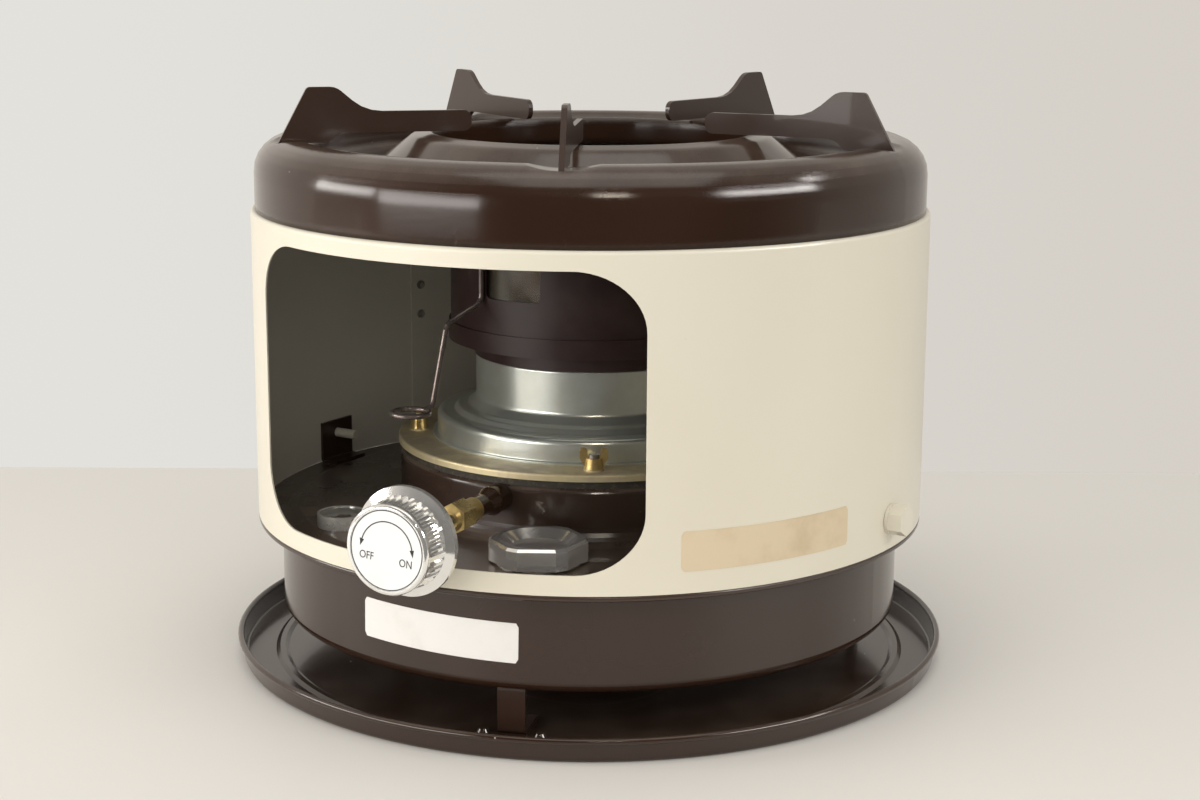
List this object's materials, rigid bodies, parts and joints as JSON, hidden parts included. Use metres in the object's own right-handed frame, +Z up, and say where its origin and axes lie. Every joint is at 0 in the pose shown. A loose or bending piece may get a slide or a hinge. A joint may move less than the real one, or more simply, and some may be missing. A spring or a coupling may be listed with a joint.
{
  "type": "kerosene wick stove",
  "caption": "Round kerosene wick cooking stove with a drip tray, annular tank, cream cabinet with a front window and a brown rolled hob plate with pot supports",
  "frame": {"origin": "centre of the flat underside of the drip tray, on the stove's upright axis", "axes": "+Z up through the burner, -Y out through the middle of the front window, +X to the right of a person who faces the window"},
  "size_m": [0.356, 0.3759, 0.282],
  "materials": {
    "brown_enamel": "glossy stoved enamel, dark brown, with small specks and soft worn edges",
    "cream_enamel": "semi-gloss cream stoved enamel, slightly yellowed",
    "zinc_steel": "satin zinc plating, lightly stained",
    "yellow_zinc": "yellow passivated zinc plating",
    "brass": "dull turned brass",
    "chrome": "bright nickel-chrome plating",
    "plain_steel": "plain turned steel with an oil film",
    "cork_gasket": "dark bonded cork and rubber",
    "packing": "woven cotton and glass yarn",
    "black_rubber": "black fuel-proof rubber",
    "heat_browned_steel": "brown enamel, matt and browned by heat low down",
    "scaled_steel": "oxidised steel sheet, heat scaled",
    "white_dial": "white lacquered disc",
    "red_needle": "red lacquer",
    "clear_glass": "clear flat pane",
    "mica": "thin amber mica sheet"
  },
  "bodies": {
    "tray": {"drip_tray": "brown_enamel"},
    "stove": {"tank_feet": "brown_enamel", "fuel_tank": "brown_enamel", "tank_deck": "brown_enamel", "draught_tube": "zinc_steel", "filler_neck": "chrome", "filler_strainer": "brass", "gauge_housing": "chrome", "gauge_dial": "white_dial", "gauge_glass": "clear_glass", "cabinet_brackets": "brown_enamel", "seat_gasket": "cork_gasket", "flange_plate": "yellow_zinc", "flange_studs": "plain_steel", "stud_washers": "yellow_zinc", "wing_nuts": "brass", "wick_guide": "zinc_steel", "spindle_sleeve": "brown_enamel", "gland_packing": "packing", "gland_nut": "brass", "cabinet": "cream_enamel", "seam_rivets": "plain_steel", "cabinet_screws": "cream_enamel"},
    "knob_set": {"spindle": "plain_steel", "pinion": "plain_steel", "knob": "chrome", "knob_dial": "white_dial"},
    "wick_set": {"wick": "packing", "wick_carrier": "plain_steel"},
    "chimney": {"chimney_base": "heat_browned_steel", "chimney_drum": "heat_browned_steel", "peep_pane": "mica", "outer_flame_cylinder": "scaled_steel", "inner_flame_cylinder": "scaled_steel", "flame_spreader": "scaled_steel", "cross_pins": "scaled_steel", "lifting_handle": "heat_browned_steel"},
    "hob": {"hob_plate": "brown_enamel", "pot_supports": "brown_enamel"},
    "seal": {"filler_seal": "black_rubber"},
    "cap": {"filler_cap": "chrome"},
    "float_set": {"float_arm": "yellow_zinc", "fuel_float": "cork_gasket"},
    "needle": {"gauge_needle": "red_needle"}
  },
  "joints": [
    {"name": "stove_lift", "type": "slide", "parent": "tray", "child": "stove", "axis": [0, 0, 1], "range_m": [0, 0.06]},
    {"name": "knob_turn", "type": "hinge", "parent": "stove", "child": "knob_set", "pos_m": [0.00471, -0.09989, 0.0965], "axis": [-0.0471, 0.9989, 0], "range_deg": [0, 137.5]},
    {"name": "wick_raise", "type": "slide", "parent": "stove", "child": "wick_set", "axis": [0, 0, 1], "range_m": [0, 0.012]},
    {"name": "chimney_lift", "type": "slide", "parent": "stove", "child": "chimney", "axis": [0, 0, 1], "range_m": [0, 0.015]},
    {"name": "hob_lift", "type": "slide", "parent": "stove", "child": "hob", "axis": [0, 0, 1], "range_m": [0, 0.05]},
    {"name": "cap_rise", "type": "slide", "parent": "stove", "child": "seal", "axis": [0, 0, 1], "range_m": [0, 0.005]},
    {"name": "cap_turn", "type": "hinge", "parent": "seal", "child": "cap", "pos_m": [0.0377, -0.11671, 0.08], "axis": [0, 0, 1], "range_deg": [0, 720]},
    {"name": "float_swing", "type": "hinge", "parent": "stove", "child": "float_set", "pos_m": [-0.07498, -0.10991, 0.0625], "axis": [-0.075, -0.9972, 0], "range_deg": [-34, 6]},
    {"name": "needle_turn", "type": "hinge", "parent": "stove", "child": "needle", "pos_m": [-0.07498, -0.10991, 0.079], "axis": [0, 0, 1], "range_deg": [-86, 16]}
  ],
  "couplings": [
    {"joint": "wick_raise", "follows": "knob_turn", "m_per_rad": 0.005},
    {"joint": "cap_rise", "follows": "cap_turn", "m_per_rad": 0.00039789},
    {"joint": "needle_turn", "follows": "float_swing", "ratio": 2.5}
  ]
}
